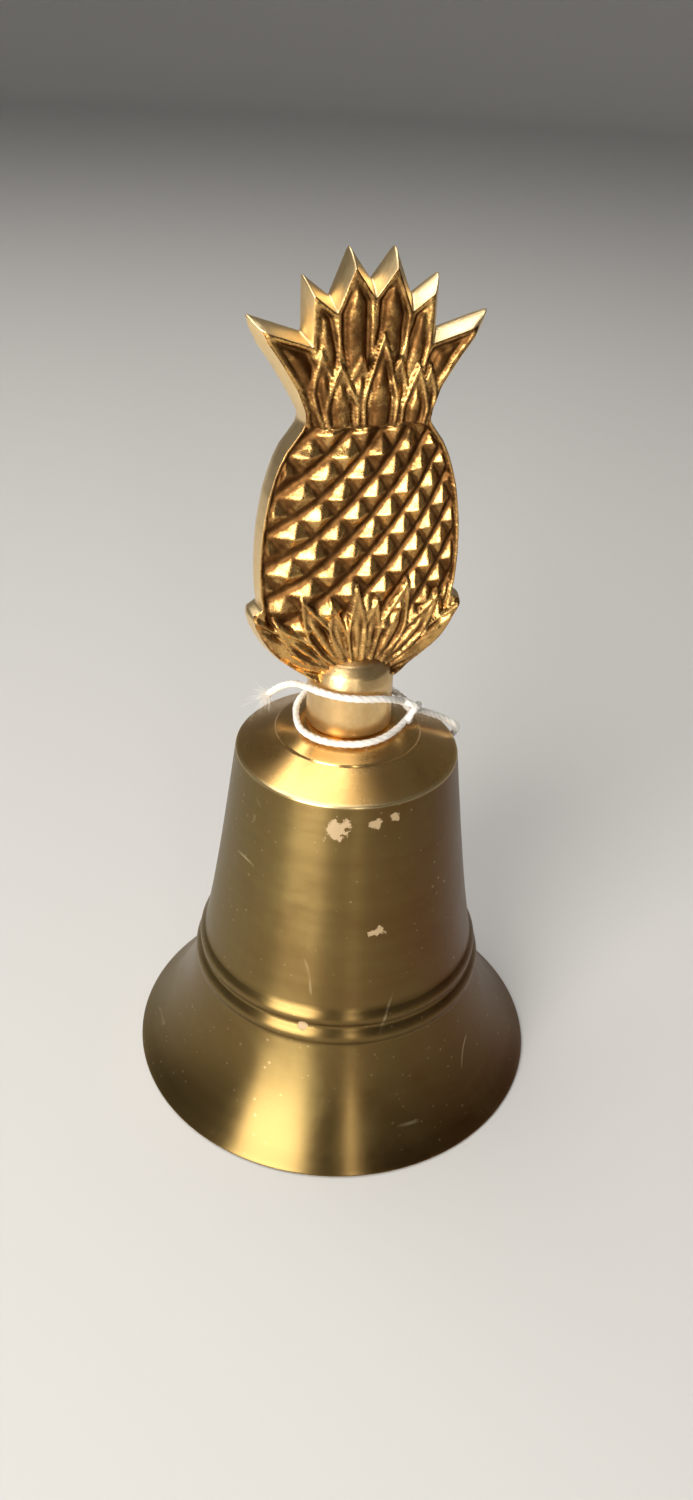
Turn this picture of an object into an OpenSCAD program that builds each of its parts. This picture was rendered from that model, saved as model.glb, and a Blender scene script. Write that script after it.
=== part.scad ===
// Small brass hand bell with a flat cast pineapple handle, a hidden clapper and
// a cotton string tied round the neck. Millimetres. The bell stands on its rim
// at z = 0, its axis is Z and the front of the pineapple faces -Y.

/* [Bell] */
// Radius of the mouth at the lip
mouth_r = 30; // [20:0.5:60]
// Height of the shoulder edge
shoulder_z = 52.2; // [35:0.1:90]
// Radius of the waist line carried down to the mouth
waist_r = 21.6; // [15:0.1:40]
// How much the waist narrows for each millimetre of height
waist_lean = 0.126; // [0:0.002:0.3]
// How far the mouth flares beyond the waist line
flare = 8.8; // [0:0.1:20]
// Height over which the flare dies away
flare_fade = 8.7; // [3:0.1:20]
// Wall thickness of the waist
wall = 1.75; // [1:0.05:4]
// Extra wall at the lip
lip_extra = 0.9; // [0:0.1:3]
// Height of the upper raised bead
bead_z = 20.3; // [5:0.1:45]
// Distance between the two beads
bead_pitch = 2.7; // [2:0.1:8]
// Width of a bead
bead_width = 2.3; // [1:0.1:4]
// How far a bead stands out of the wall
bead_height = 0.5; // [0.1:0.05:1.5]

/* [Crown] */
// Radius of the step between the crown cone and the boss
step_r = 9.8; // [7:0.1:14]
// Height of the crown cone at the step
step_z = 54.77; // [50:0.05:60]
// Height of the step itself
step_h = 0.28; // [0:0.02:1]
// Radius of the flat seat under the neck
seat_r = 6.2; // [5:0.1:9]
// Height of the flat seat
seat_z = 56.4; // [52:0.1:62]
// Height of the flat ceiling inside the crown
ceiling_z = 52.6; // [48:0.1:56]

/* [Handle] */
// Neck radius
neck_r = 5.7; // [4:0.1:8]
// Half thickness of the casting at its outline
edge_t = 1.9; // [1:0.1:3]
// Half thickness of the rim round the fruit
rim_t = 2.8; // [1.5:0.1:4]
// Half thickness over the crowns of the diamonds
field_t = 3.0; // [1.5:0.1:4]
// Half thickness at the bottom of the diamond grooves
floor_t = 1.9; // [1:0.1:3]
// Width of one diamond
diamond_w = 4.2; // [3:0.1:8]
// Height of one diamond
diamond_h = 5.0; // [3:0.1:8]
// Width of the rim round the fruit
rim_w = 1.3; // [0.5:0.1:3]

/* [Clapper] */
// Radius of the stud
stud_r = 2.0; // [1.5:0.1:3]
// Ring radius of the eye, to the middle of its wire
eye_r = 2.7; // [2:0.1:4]
// Wire radius of the eye
eye_wire = 0.85; // [0.5:0.05:1.5]
// Wire radius of the link
link_wire = 0.5; // [0.3:0.05:1]
// End radius of the link, to the middle of its wire
link_r = 2.5; // [1.5:0.1:4]
// Wire radius of the clapper rod and its loop
rod_wire = 0.6; // [0.4:0.05:1.5]
// Loop radius of the rod, to the middle of its wire
loop_r = 1.7; // [1.2:0.1:3]
// Radius of the clapper ball
ball_r = 5.4; // [3:0.1:9]
// Height of the middle of the ball at rest
ball_z = 9.2; // [6:0.1:20]

/* [String] */
// Diameter of the cotton string
string_d = 0.9; // [0.6:0.1:3]

/* [Hidden] */
play = 0.05;
e = 0.01;
brass = [0.72, 0.55, 0.22];
pale = [0.93, 0.92, 0.88];
steel = [0.6, 0.6, 0.6];

// radius of the plain wall, of a bead, of the outside and of the inside at height z
function plain(z) = waist_r - waist_lean * z + flare * exp(-z / flare_fade);
function bump(z, c) = abs(z - c) < bead_width / 2
    ? bead_height * pow(cos(180 * (z - c) / bead_width), 1.0) : 0;
function outer(z) = plain(z) + bump(z, bead_z) + bump(z, bead_z - bead_pitch);
function inner(z) = plain(z) - wall - lip_extra * exp(-z / 6);

bead_lo = bead_z - bead_pitch - bead_width / 2;
bead_hi = bead_z + bead_width / 2;
in_top = 49.2;

outer_pts = concat(
    [for (z = [1.2:1.2:bead_lo - 0.6]) [outer(z), z]],
    [for (i = [0:20]) let (z = bead_lo + (bead_hi - bead_lo) * i / 20) [outer(z), z]],
    [for (i = [1:13]) let (z = bead_hi + (shoulder_z - bead_hi) * i / 14) [outer(z), z]]);
inner_pts = concat(
    [for (i = [0:9]) let (z = in_top * (1 - i / 10)) if (z > 14) [inner(z), z]],
    [for (z = [13.2:-1.2:0.6]) [inner(z), z]]);
shell_profile = concat(
    [[inner(0), 0], [mouth_r - 0.5, 0], [mouth_r - 0.1, 0.3], [mouth_r - 0.25, 0.7]],
    outer_pts,
    [[plain(shoulder_z), shoulder_z - 0.15], [plain(shoulder_z) - 0.15, shoulder_z + 0.08],
     [step_r, step_z], [step_r - 0.1, step_z + step_h], [seat_r, seat_z],
     [stud_r + 0.1, seat_z], [stud_r + 0.1, ceiling_z], [6.6, ceiling_z],
     [11.4, 51.5], [13.0, 50.5]],
    inner_pts);

module bell_shell() {
    color(brass) rotate_extrude($fn = 96) polygon(shell_profile);
}

// ---- pineapple outline, right half from the top notch down, mirrored to the left
half_outline = [[0, 112.1], [2.6, 115.6], [4.7, 110.5], [7.8, 112.8], [7.8, 106.8],
    [14, 109], [13.0, 106], [11.2, 103.5], [9.2, 100.3], [8, 98], [7.8, 97.2],
    [8.6, 95.8], [9.9, 94.2], [11.2, 91.2], [12.1, 87.8], [12.7, 84], [12.95, 80.2],
    [12.9, 76.4], [12.6, 73.6], [14, 73.3], [13.1, 70.6], [11.4, 68], [8.8, 65.6],
    [6.2, 63.8], [4.6, 62.9]];
fruit_half = [[0, 98.4], [4, 98], [7.2, 97], [8.6, 95.8], [9.9, 94.2], [11.2, 91.2],
    [12.1, 87.8], [12.7, 84], [12.95, 80.2], [12.9, 76.4], [12.3, 72.6], [11, 69.5],
    [8.8, 66.8], [6, 65], [0, 64.2]];
function mirrored(p) = concat(p, [for (i = [len(p) - 1:-1:0]) if (p[i][0] > 0) [-p[i][0], p[i][1]]]);
// the same outline drawn in towards the middle of the fruit by the rim width
function shrunk(p, w) = [for (q = p) let (d = norm([q[0], q[1] - 81.3]), k = (d - w) / d)
    [q[0] * k, 81.3 + (q[1] - 81.3) * k]];

// a slab of the given half thickness, drawn in the XZ plane
module slab(pts, t) {
    rotate([90, 0, 0]) translate([0, 0, -t]) linear_extrude(height = 2 * t) polygon(pts);
}

// one relief leaf on both faces: flat kite at the outline, midrib standing proud
module leaf(root, tip, half_w, belly, t0, t1) {
    d = tip - root;
    n = [-d[1], d[0]] / norm(d);
    kite = [root, root + d * belly + n * half_w, tip, root + d * belly - n * half_w];
    ridge = [root + d * 0.12, root + d * 0.8];
    polyhedron(
        points = concat([for (y = [-t0, t0], k = kite) [k[0], y, k[1]]],
            [for (y = [-t1, t1], k = ridge) [k[0], y, k[1]]]),
        faces = [[4, 5, 1, 0], [5, 6, 2, 1], [6, 7, 3, 2], [7, 4, 0, 3],
            [8, 0, 1], [8, 3, 0], [9, 1, 2], [9, 2, 3], [9, 8, 1], [9, 3, 8],
            [10, 5, 4], [10, 4, 7], [11, 6, 5], [11, 7, 6], [11, 5, 10], [11, 10, 7]]);
}

// saw-tooth block that cuts one family of parallel grooves into one face
groove_a = atan(diamond_h / diamond_w);
groove_pitch = diamond_w * diamond_h / sqrt(diamond_w * diamond_w + diamond_h * diamond_h);
module grooves(side, turn) {
    teeth = 6;
    pts = concat([for (i = [-teeth:teeth - 1]) each [[i * groove_pitch, floor_t],
            [(i + 0.5) * groove_pitch, field_t + 0.02]]],
        [[teeth * groove_pitch, floor_t], [teeth * groove_pitch, 8], [-teeth * groove_pitch, 8]]);
    translate([0, 0, 81.3]) rotate([0, turn, 0]) rotate([0, 0, side > 0 ? 0 : 180])
        translate([0, 0, -22]) linear_extrude(height = 44) polygon(pts);
}

module handle() {
    color(brass) difference() {
        union() {
            translate([0, 0, seat_z]) cylinder(h = 9.1, r = neck_r, $fn = 72);
            translate([0, 0, seat_z + 9.1]) cylinder(h = 1.2, r1 = neck_r, r2 = 4.6, $fn = 72);
            slab(mirrored(half_outline), edge_t);
            difference() {
                slab(mirrored(fruit_half), rim_t);
                slab(shrunk(mirrored(fruit_half), rim_w), 6);
            }
            difference() {
                slab(shrunk(mirrored(fruit_half), rim_w + 0.5), field_t);
                for (side = [-1, 1], turn = [90 - groove_a, groove_a - 90]) grooves(side, turn);
            }
            // outer crown leaves
            for (s = [-1, 1]) {
                leaf([s * 6.2, 97.5], [s * 13.2, 107.9], 2.2, 0.45, edge_t, 2.7);
                leaf([s * 3.8, 97.5], [s * 7.5, 111.2], 2.1, 0.5, edge_t, 2.9);
                leaf([s * 1.6, 97.5], [s * 2.6, 113.8], 2.1, 0.5, edge_t, 3.0);
                leaf([s * 5.2, 97.3], [s * 4.9, 103.8], 1.7, 0.45, edge_t, 3.6);
            }
            leaf([0, 97.3], [0.1, 107.2], 2, 0.45, edge_t, 3.7);
            // base leaves
            for (s = [-1, 1]) {
                leaf([s * 3.2, 64.2], [s * 13.7, 73.1], 2.0, 0.6, edge_t + 0.4, 3.6);
                leaf([s * 2.2, 65], [s * 9.6, 73.4], 1.4, 0.55, edge_t + 0.4, 3.7);
                leaf([s * 1.4, 65], [s * 5.6, 76], 1.4, 0.55, edge_t + 0.4, 3.8);
            }
            leaf([0, 65], [0, 77.6], 1.5, 0.5, edge_t + 0.4, 3.8);
        }
        translate([0, 0, seat_z - 1]) cylinder(h = 11.4, r = stud_r + play, $fn = 48);
    }
}

// ---- hanging gear under the crown
eye_z = 44.6;
eye_low = eye_z - eye_r;
link_top = eye_low + eye_wire + link_wire + play;
link_low = 35.9;
loop_z = link_low + link_wire + rod_wire + play - loop_r;

module eye_bolt() {
    color(steel) union() {
        translate([0, 0, eye_z + eye_r - 0.3]) cylinder(h = 66 - eye_z - eye_r + 0.3, r = stud_r, $fn = 48);
        translate([0, 0, eye_z]) rotate([90, 0, 0]) rotate_extrude($fn = 64)
            translate([eye_r, 0]) circle(r = eye_wire, $fn = 32);
    }
}

module washer() {
    color(steel) difference() {
        translate([0, 0, ceiling_z - 0.8]) cylinder(h = 0.8, r = 4.6, $fn = 64);
        translate([0, 0, ceiling_z - 2]) cylinder(h = 4, r = stud_r + 0.1, $fn = 48);
    }
}

module hex_nut() {
    color(steel) difference() {
        translate([0, 0, ceiling_z - 4]) cylinder(h = 3.2, r = 7 / sqrt(3), $fn = 6);
        translate([0, 0, ceiling_z - 5]) cylinder(h = 6, r = stud_r + play, $fn = 48);
    }
}

module clapper_link() {
    color(steel) rotate([0, 0, 90]) union() {
        translate([0, 0, link_top - link_r]) rotate([90, 0, 0]) rotate_extrude(angle = 180, $fn = 64)
            translate([link_r, 0]) circle(r = link_wire, $fn = 24);
        translate([0, 0, link_low + link_r]) rotate([90, 180, 0]) rotate_extrude(angle = 180, $fn = 64)
            translate([link_r, 0]) circle(r = link_wire, $fn = 24);
        for (s = [-1, 1]) translate([s * link_r, 0, link_low + link_r])
            cylinder(h = link_top - link_low - 2 * link_r, r = link_wire, $fn = 24);
    }
}

module clapper_rod() {
    color(steel) union() {
        translate([0, 0, loop_z]) rotate([90, 0, 0]) rotate_extrude($fn = 64)
            translate([loop_r, 0]) circle(r = rod_wire, $fn = 24);
        translate([0, 0, ball_z - 2]) cylinder(h = loop_z - loop_r - ball_z + 2, r = rod_wire + 0.2, $fn = 32);
    }
}

module clapper_ball() {
    color(brass) difference() {
        translate([0, 0, ball_z]) sphere(r = ball_r, $fn = 72);
        translate([0, 0, ball_z - 2 - e]) cylinder(h = 12, r = rod_wire + 0.2 + 0.02, $fn = 32);
    }
}

// ---- cotton string: frayed end, over the front of the neck, through the hitch,
// round the back, loose on the crown, through the hitch again and over the shoulder
route = [[-9.9, 5.6, 57.9], [-8.6, 3.6, 60.1], [-7.4, 1.2, 61.8], [-6.5, -1.6, 62.8],
    [-5.2, -3.9, 63.1], [-3.1, -5.7, 63.1], [-0.4, -6.5, 62.9], [2.6, -6, 62.3],
    [5.1, -4.4, 60.9], [6.8, -2.6, 59.5], [7.3, -0.4, 58.8], [6.4, 2.4, 58.7],
    [4.1, 5.1, 58.8], [0.4, 6.6, 58.8], [-3.4, 5.8, 58.3], [-6.1, 3.3, 57.6],
    [-7.1, 0.2, 57.1], [-7.1, -2.6, 56.9], [-5.8, -4.9, 56.8], [-3.6, -6.6, 56.8],
    [-0.6, -7.4, 56.8], [2.4, -6.9, 56.9], [5, -5.4, 57.1], [7, -3.6, 57.4],
    [8.4, -1.9, 57.3], [9.9, -0.7, 56.6], [12, 0.2, 55.3], [14.2, 0.6, 54],
    [15.9, 0.4, 52.7], [16.2, 1.6, 50.9], [15.9, 3.4, 48.5], [15.8, 5.2, 45.9],
    [15.7, 6.6, 43.2], [15.8, 7.5, 40.6], [16.1, 8, 38]];

// point on the smooth curve through the route, u counts route points
function at(i) = route[max(0, min(len(route) - 1, i))];
function smooth(u) = let (i = min(len(route) - 2, floor(u)), t = u - i,
    a = at(i - 1), b = at(i), c = at(i + 1), d = at(i + 2))
    0.5 * (2 * b + (c - a) * t + (2 * a - 5 * b + 4 * c - d) * t * t
    + (3 * b - a - 3 * c + d) * t * t * t);
steps = 2 * (len(route) - 1);
centre = [for (k = [0:steps]) smooth(k / 2)];
function unit(v) = v / norm(v);
function along(k) = unit(centre[min(steps, k + 1)] - centre[max(0, k - 1)]);
// a sideways direction carried from ring to ring without twist
function carried(k, s) = k > steps ? [] : let (t = along(k), w = unit(s - (s * t) * t))
    concat([w], carried(k + 1, w));
side_dirs = carried(0, [0, 0, 1]);
corners = 8;
rings = [for (k = [0:steps]) let (t = along(k), u = side_dirs[k], v = cross(t, u))
    for (j = [0:corners - 1]) centre[k] + string_d / 2 * (cos(360 * j / corners) * u
        + sin(360 * j / corners) * v)];
last = steps * corners;

module tie_string() {
    color(pale) polyhedron(points = rings, faces = concat(
        [[for (j = [corners - 1:-1:0]) j]], [[for (j = [0:corners - 1]) last + j]],
        [for (k = [0:steps - 1], j = [0:corners - 1]) let (n = (j + 1) % corners)
            each [[k * corners + j, k * corners + n, (k + 1) * corners + n],
                [k * corners + j, (k + 1) * corners + n, (k + 1) * corners + j]]]));
}

// the turn of string that closes the hitch at the right of the neck
module string_knot() {
    color(pale) translate([7.4, -2.5, 58.3]) rotate([0, 0, 42]) rotate([0, 84, 0])
        scale([1.35, 0.85, 1]) union() {
            for (x = [-0.4, 0.4]) translate([0, 0, x]) rotate([0, 10 * x, 0]) rotate_extrude($fn = 32)
                translate([0.95, 0]) circle(r = 0.45, $fn = 12);
        }
}

bell_shell();
handle();
eye_bolt();
washer();
hex_nut();
clapper_link();
clapper_rod();
clapper_ball();
tie_string();
string_knot();
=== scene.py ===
"""Brass hand bell with a flat cast pineapple handle and a cotton string tied round its neck.

Each section below is one piece, or a few pieces that are made the same way, in the order
in which the bell is put together.
"""
import math

import bpy
import numpy as np
from mathutils import Matrix, Vector
from mathutils.geometry import delaunay_2d_cdt


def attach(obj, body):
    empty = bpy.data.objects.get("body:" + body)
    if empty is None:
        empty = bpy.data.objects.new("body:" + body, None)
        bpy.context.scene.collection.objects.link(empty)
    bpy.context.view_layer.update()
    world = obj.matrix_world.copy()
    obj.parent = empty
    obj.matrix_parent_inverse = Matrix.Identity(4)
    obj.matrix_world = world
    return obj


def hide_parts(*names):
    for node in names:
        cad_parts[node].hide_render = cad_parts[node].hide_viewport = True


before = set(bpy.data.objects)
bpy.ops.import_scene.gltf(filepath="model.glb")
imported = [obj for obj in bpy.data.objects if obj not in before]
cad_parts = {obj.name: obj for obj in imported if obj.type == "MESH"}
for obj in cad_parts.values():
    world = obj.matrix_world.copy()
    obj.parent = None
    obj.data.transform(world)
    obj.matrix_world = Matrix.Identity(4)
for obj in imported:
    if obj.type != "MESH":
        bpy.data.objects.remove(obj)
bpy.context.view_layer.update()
MM = 0.001

# ------------------------------------------------------------
# Camera. It stands a little to the left of the pineapple's front and looks down on the
# bell, leaning slightly, as one holds a telephone over a small thing on a table.
# ------------------------------------------------------------
CAMERA_AT = (-0.04252, -0.13087, 0.1393)
CAMERA_TURN = math.radians(18.0)
CAMERA_PITCH = math.radians(32.64)
CAMERA_ROLL = math.radians(2.94)
CAMERA_LENS = 28.8

forward = Vector((math.cos(CAMERA_PITCH) * math.sin(CAMERA_TURN),
                  math.cos(CAMERA_PITCH) * math.cos(CAMERA_TURN), -math.sin(CAMERA_PITCH)))
level_right = Vector((math.cos(CAMERA_TURN), -math.sin(CAMERA_TURN), 0))
level_up = level_right.cross(forward)
camera_right = level_right * math.cos(CAMERA_ROLL) + level_up * math.sin(CAMERA_ROLL)
camera_up = level_up * math.cos(CAMERA_ROLL) - level_right * math.sin(CAMERA_ROLL)
camera = bpy.data.objects.new("camera", bpy.data.cameras.new("camera"))
camera.data.lens = CAMERA_LENS
camera.data.sensor_width = 36.0
camera.data.clip_start = 0.005
camera.matrix_world = Matrix((
    (camera_right.x, camera_up.x, -forward.x, CAMERA_AT[0]),
    (camera_right.y, camera_up.y, -forward.y, CAMERA_AT[1]),
    (camera_right.z, camera_up.z, -forward.z, CAMERA_AT[2]),
    (0, 0, 0, 1)))
bpy.context.collection.objects.link(camera)
bpy.context.scene.camera = camera

# ------------------------------------------------------------
# The string: plain white cotton, three twisted plies, about 0.9 mm thick. One end is
# frayed at the left of the neck. It runs over the front, through the hitch at the right,
# round the back, loosely along the crown and through the hitch, and hangs over the
# shoulder.
# ------------------------------------------------------------
STRING_D = 0.9 * MM
STRING_ROUTE = np.array([
    (-9.9, 5.6, 57.9), (-8.6, 3.6, 60.1), (-7.4, 1.2, 61.8), (-6.5, -1.6, 62.8),
    (-5.2, -3.9, 63.1), (-3.1, -5.7, 63.1), (-0.4, -6.5, 62.9), (2.6, -6, 62.3),
    (5.1, -4.4, 60.9), (6.8, -2.6, 59.5), (7.3, -0.4, 58.8), (6.4, 2.4, 58.7),
    (4.1, 5.1, 58.8), (0.4, 6.6, 58.8), (-3.4, 5.8, 58.3), (-6.1, 3.3, 57.6),
    (-7.1, 0.2, 57.1), (-7.1, -2.6, 56.9), (-5.8, -4.9, 56.8), (-3.6, -6.6, 56.8),
    (-0.6, -7.4, 56.8), (2.4, -6.9, 56.9), (5, -5.4, 57.1), (7, -3.6, 57.4),
    (8.4, -1.9, 57.3), (9.9, -0.7, 56.6), (12, 0.2, 55.3), (14.2, 0.6, 54),
    (15.9, 0.4, 52.7), (16.2, 1.6, 50.9), (15.9, 3.4, 48.5), (15.8, 5.2, 45.9),
    (15.7, 6.6, 43.2), (15.8, 7.5, 40.6), (16.1, 8, 38)]) * MM
PLY_PITCH = 3.2 * MM
PLIES = 3
rng = np.random.default_rng(7)


def smooth_path(points, per_span):
    """A Catmull-Rom curve through the points: each span is the usual cubic of the four
    points round it, cut into per_span steps."""
    p = np.vstack([points[:1], points, points[-1:]])
    t = (np.arange(per_span) / per_span)[:, None, None]
    a, b, c, d = p[:-3], p[1:-2], p[2:-1], p[3:]
    spans = 0.5 * (2 * b + (c - a) * t + (2 * a - 5 * b + 4 * c - d) * t ** 2
                   + (3 * b - a - 3 * c + d) * t ** 3)
    return np.vstack([spans.transpose(1, 0, 2).reshape(-1, 3), points[-1:]])


def even_path(points, step):
    """The same line with its points a fixed step apart, by its running length."""
    run = np.r_[0, np.cumsum(np.linalg.norm(np.diff(points, axis=0), axis=1))]
    at = np.linspace(0, run[-1], max(2, int(round(run[-1] / step)) + 1))
    return np.stack([np.interp(at, run, points[:, k]) for k in range(3)], 1), at


def circle(steps):
    """The angles of that many even steps round a circle."""
    return 2 * np.pi * np.arange(steps) / steps


def unit(vectors):
    """Each row at length one."""
    return vectors / np.linalg.norm(vectors, axis=1)[:, None]


def side_frames(line):
    """Two directions square to a line at each of its points. The first is carried along
    from ring to ring by taking out whatever part of it has come to lie along the line."""
    along = unit(np.gradient(line, axis=0))
    side = np.zeros_like(line)
    now = np.array([0.0, 0.0, 1.0]) if abs(along[0, 2]) < 0.9 else np.array([1.0, 0.0, 0.0])
    for k, t in enumerate(along):
        now = now - t * (now @ t)
        now /= np.linalg.norm(now)
        side[k] = now
    return side, np.cross(along, side)


def grid_faces(rows, columns, closed_rows=False):
    """Quads of a grid of rows by columns points, whose columns join up into rings. With
    closed_rows the last row joins the first too."""
    i = np.arange(rows if closed_rows else rows - 1)[:, None]
    j = np.arange(columns)[None, :]
    a, b = i * columns + j, i * columns + (j + 1) % columns
    up = ((i + 1) % rows) * columns
    return np.stack([a, b, up + (j + 1) % columns, up + j], -1).reshape(-1, 4)


def mesh_piece(name, points, faces, uv=None, attributes=None, smooth=True):
    """Puts points (n, 3) and faces, a list of index arrays of one width each, into a mesh
    object of that name. uv is (n, 2) and attributes a dict of n numbers, one a point."""
    mesh = bpy.data.meshes.new(name)
    faces = [np.asarray(f, np.int32) for f in (faces if isinstance(faces, list) else [faces])]
    loops = np.concatenate([f.ravel() for f in faces])
    sizes = np.concatenate([np.full(len(f), f.shape[1], np.int32) for f in faces])
    mesh.vertices.add(len(points))
    mesh.vertices.foreach_set("co", np.ascontiguousarray(points, np.float32).ravel())
    mesh.loops.add(len(loops))
    mesh.loops.foreach_set("vertex_index", loops)
    mesh.polygons.add(len(sizes))
    mesh.polygons.foreach_set("loop_start", np.r_[0, np.cumsum(sizes)[:-1]].astype(np.int32))
    mesh.polygons.foreach_set("use_smooth", np.full(len(sizes), smooth))
    mesh.update(calc_edges=True)
    mesh.validate()
    if uv is not None:
        layer = mesh.uv_layers.new(name="UVMap")
        corner = np.zeros(len(mesh.loops), np.int32)
        mesh.loops.foreach_get("vertex_index", corner)
        layer.data.foreach_set("uv", np.ascontiguousarray(uv[corner], np.float32).ravel())
    for key, values in (attributes or {}).items():
        layer = mesh.attributes.new(key, "FLOAT", "POINT")
        layer.data.foreach_set("value", np.ascontiguousarray(values, np.float32))
    obj = bpy.data.objects.new(name, mesh)
    bpy.context.collection.objects.link(obj)
    return obj


def ply_tube(line, run, radius, pitch, plies, sides, lobe=0.13, swell=None):
    """Points and faces of a twisted string: at angle a and running length s the radius is
    radius * (1.04 - 1.6 lobe + 1.6 lobe * |cos(plies * (a - 2 pi s / pitch) / 2)|), so the rounded
    plies wind round the line. swell multiplies the radius along the line."""
    u, v = side_frames(line)
    a = circle(sides)
    phase = a[None, :] - 2 * np.pi * run[:, None] / pitch
    r = radius * (1.04 - 1.6 * lobe + 1.6 * lobe * np.abs(np.cos(plies * phase / 2)))
    if swell is not None:
        r = r * swell[:, None]
    ring = np.cos(a)[None, :, None] * u[:, None] + np.sin(a)[None, :, None] * v[:, None]
    points = (line[:, None] + r[..., None] * ring).reshape(-1, 3)
    uv = np.stack([np.broadcast_to(a[None, :] / (2 * np.pi), r.shape),
                   np.broadcast_to(run[:, None] / (2 * np.pi * radius), r.shape)], -1)
    n = len(line)
    faces = [grid_faces(n, sides), np.arange(sides)[::-1][None, :],
             ((n - 1) * sides + np.arange(sides))[None, :]]
    return points, faces, uv.reshape(-1, 2)


def fibres(roots, ways, lengths, curl, radius, bits=4):
    """Fine hairs as three-sided tapering tubes: each starts at its root, goes its own way
    and bends by a random sideways curl that grows with the square of the distance."""
    n = len(roots)
    t = np.linspace(0, 1, bits)
    bend = rng.normal(size=(n, 3)) * curl
    axis = (roots[:, None] + ways[:, None] * (lengths[:, None] * t)[..., None]
            + bend[:, None] * (lengths[:, None] * t ** 2)[..., None])
    side = np.cross(ways, rng.normal(size=(n, 3)))
    side = unit(side)
    other = np.cross(ways, side)
    a = circle(3)
    r = radius * (1 - 0.75 * t)
    ring = (np.cos(a)[:, None, None] * side + np.sin(a)[:, None, None] * other)
    points = axis[:, :, None] + r[None, :, None, None] * ring.transpose(1, 0, 2)[:, None]
    one = grid_faces(bits, 3)
    base = (np.arange(n) * bits * 3)[:, None, None]
    quads = (one[None] + base).reshape(-1, 4)
    ends = np.array([[2, 1, 0], [bits * 3 - 3, bits * 3 - 2, bits * 3 - 1]])
    caps = (ends[None] + base).reshape(-1, 3)
    return points.reshape(-1, 3), [quads, caps]


def node_adder(tree):
    """A short way to add nodes to a tree. A node's own settings are set first, then each
    of its inputs is linked to a socket or given a value."""
    def add(kind, inputs=None, **settings):
        node = tree.nodes.new(kind)
        for key, value in settings.items():
            setattr(node, key, value)
        for key, value in (inputs or {}).items():
            if isinstance(value, bpy.types.NodeSocket):
                tree.links.new(value, node.inputs[key])
            else:
                node.inputs[key].default_value = value
        return node

    return add


def new_material(name):
    """An empty material with a Principled shader, a way to add nodes and a way to feed
    the shader's inputs."""
    material = bpy.data.materials.new(name)
    material.use_nodes = True
    tree = material.node_tree
    shader = tree.nodes["Principled BSDF"]

    def feed(socket_name, output):
        tree.links.new(output, shader.inputs[socket_name])

    return material, shader, node_adder(tree), feed


def ramp(add, factor, *stops):
    """A colour ramp through (position, colour) stops, colours as three numbers."""
    node = add("ShaderNodeValToRGB", {"Fac": factor})
    line = node.color_ramp
    while len(line.elements) < len(stops):
        line.elements.new(0.5)
    for element, (where, colour) in zip(line.elements, stops):
        element.position = where
        element.color = (*colour, 1)
    return node.outputs["Color"]


# cotton: off-white, matt and a little see-through at the edges of the hairs
cotton, shader, add, feed = new_material("cotton")
place = add("ShaderNodeTexCoord").outputs["Object"]
uv = add("ShaderNodeTexCoord").outputs["UV"]
blotch = add("ShaderNodeTexNoise", {"Vector": place, "Scale": 420, "Detail": 3}).outputs["Fac"]
feed("Base Color", ramp(add, blotch, (0.3, (0.74, 0.71, 0.64)), (0.6, (0.88, 0.86, 0.81))))
yarn_turn = add("ShaderNodeMapping", {"Vector": uv, "Rotation": (0, 0, 0.5),
                                      "Scale": (26, 7, 1)}).outputs["Vector"]
yarn = add("ShaderNodeTexNoise", {"Vector": yarn_turn, "Scale": 1.0, "Detail": 4,
                                  "Roughness": 0.7}).outputs["Fac"]
feed("Normal", add("ShaderNodeBump", {"Height": yarn, "Strength": 0.5,
                                      "Distance": 0.00012}).outputs["Normal"])
shader.inputs["Roughness"].default_value = 0.9
shader.inputs["Sheen Weight"].default_value = 0.35
shader.inputs["Sheen Roughness"].default_value = 0.4
shader.inputs["Subsurface Weight"].default_value = 0.15
shader.inputs["Subsurface Radius"].default_value = (0.0006, 0.0005, 0.0004)

string_line, string_run = even_path(smooth_path(STRING_ROUTE, 14), 0.16 * MM)
end_fade = np.minimum(string_run, string_run[-1] - string_run)
wander = np.interp(string_run, np.linspace(0, string_run[-1], 60), rng.normal(size=60))
swell = (1 + 0.04 * wander) * np.clip(0.55 + end_fade / (1.6 * MM), 0, 1)
points, faces, uvs = ply_tube(string_line, string_run, STRING_D / 2, PLY_PITCH, PLIES, 24,
                              swell=swell)
string_piece = mesh_piece("string", points, faces, uv=uvs)
string_piece.data.materials.append(cotton)
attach(string_piece, "bell")
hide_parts("tie_string")

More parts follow.
